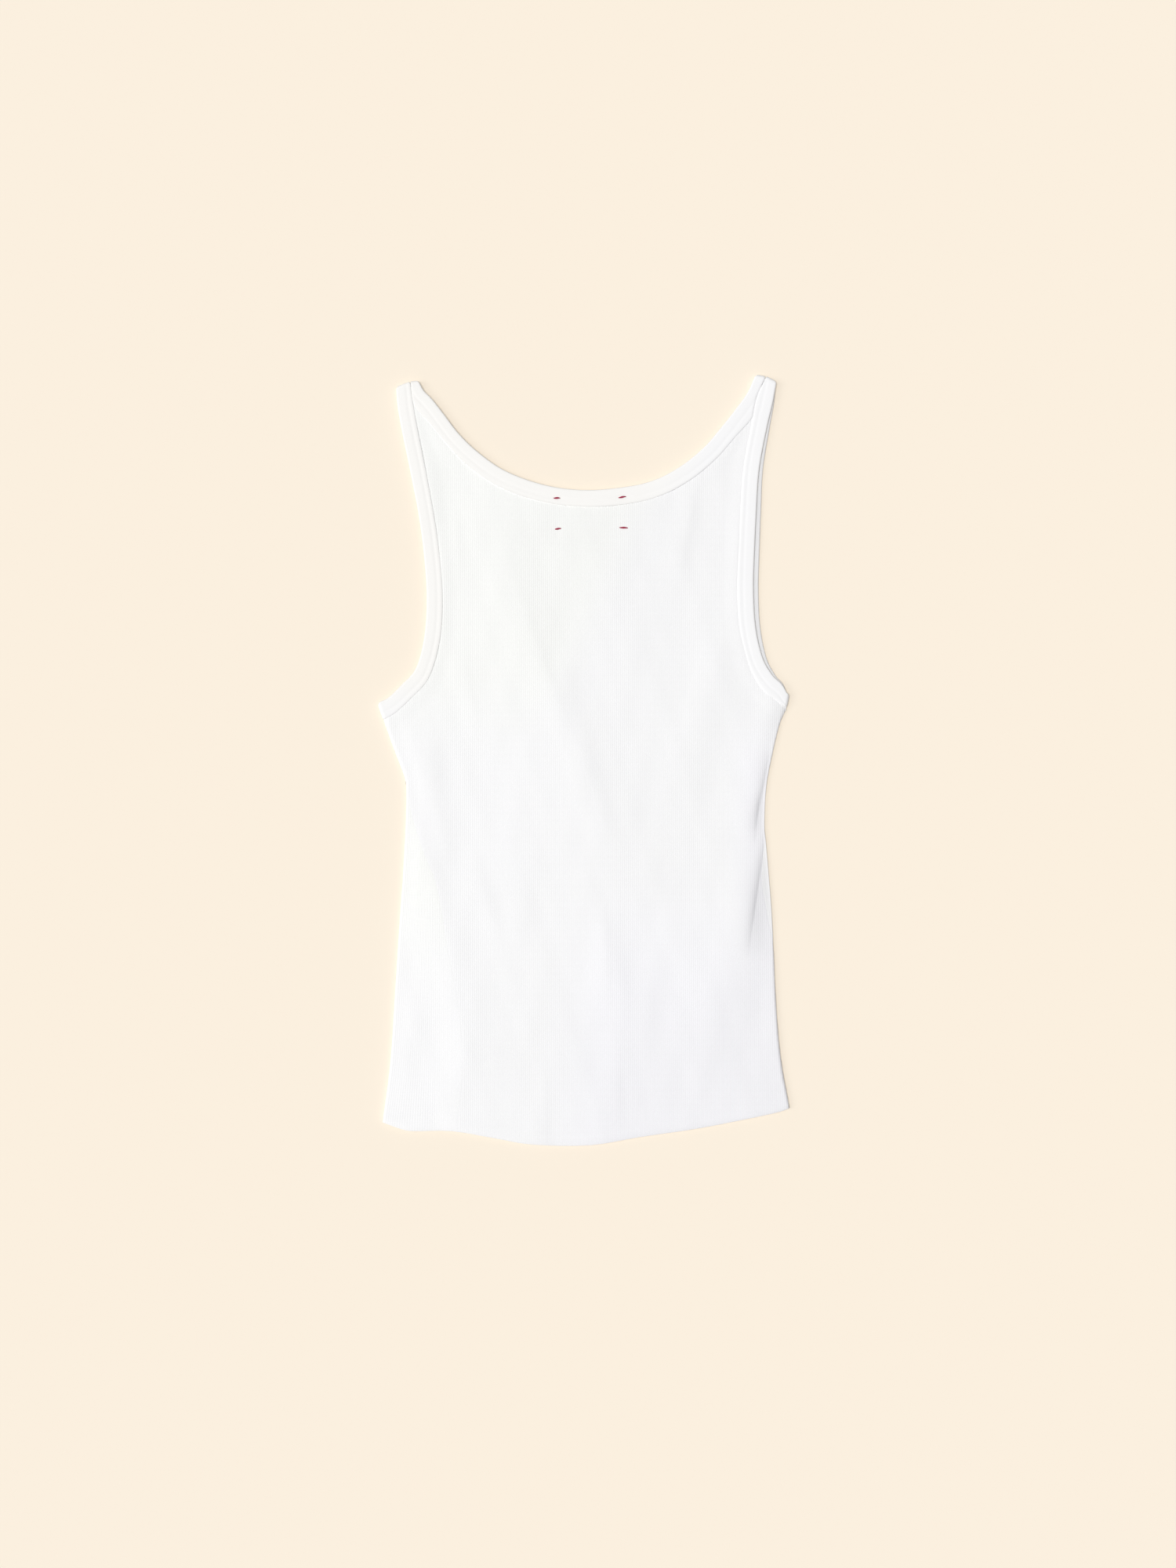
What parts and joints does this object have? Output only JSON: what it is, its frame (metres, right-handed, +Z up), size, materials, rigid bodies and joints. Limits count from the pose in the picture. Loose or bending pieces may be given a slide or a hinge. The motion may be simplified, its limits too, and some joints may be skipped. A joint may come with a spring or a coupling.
{
  "type": "tank top",
  "caption": "Fine-rib cotton tank top lying flat, back uppermost, with bound neck and armholes, a plain hem and one side rolled to the back.",
  "frame": {"origin": "on the surface that it lies on, under the middle of the whole garment's box", "axes": "+Y towards the shoulders, +X to the right as seen from above, +Z up off the surface"},
  "size_m": [0.3206, 0.5999, 0.0053],
  "materials": {
    "rib_knit": "white 1 by 1 rib cotton knit, matt",
    "binding_knit": "white cotton knit binding, matt and smoother"
  },
  "bodies": {
    "root": {"back_panel": "rib_knit", "front_panel": "rib_knit", "neck_binding": "binding_knit", "left_armhole_binding": "binding_knit", "right_armhole_binding": "binding_knit"}
  },
  "joints": []
}
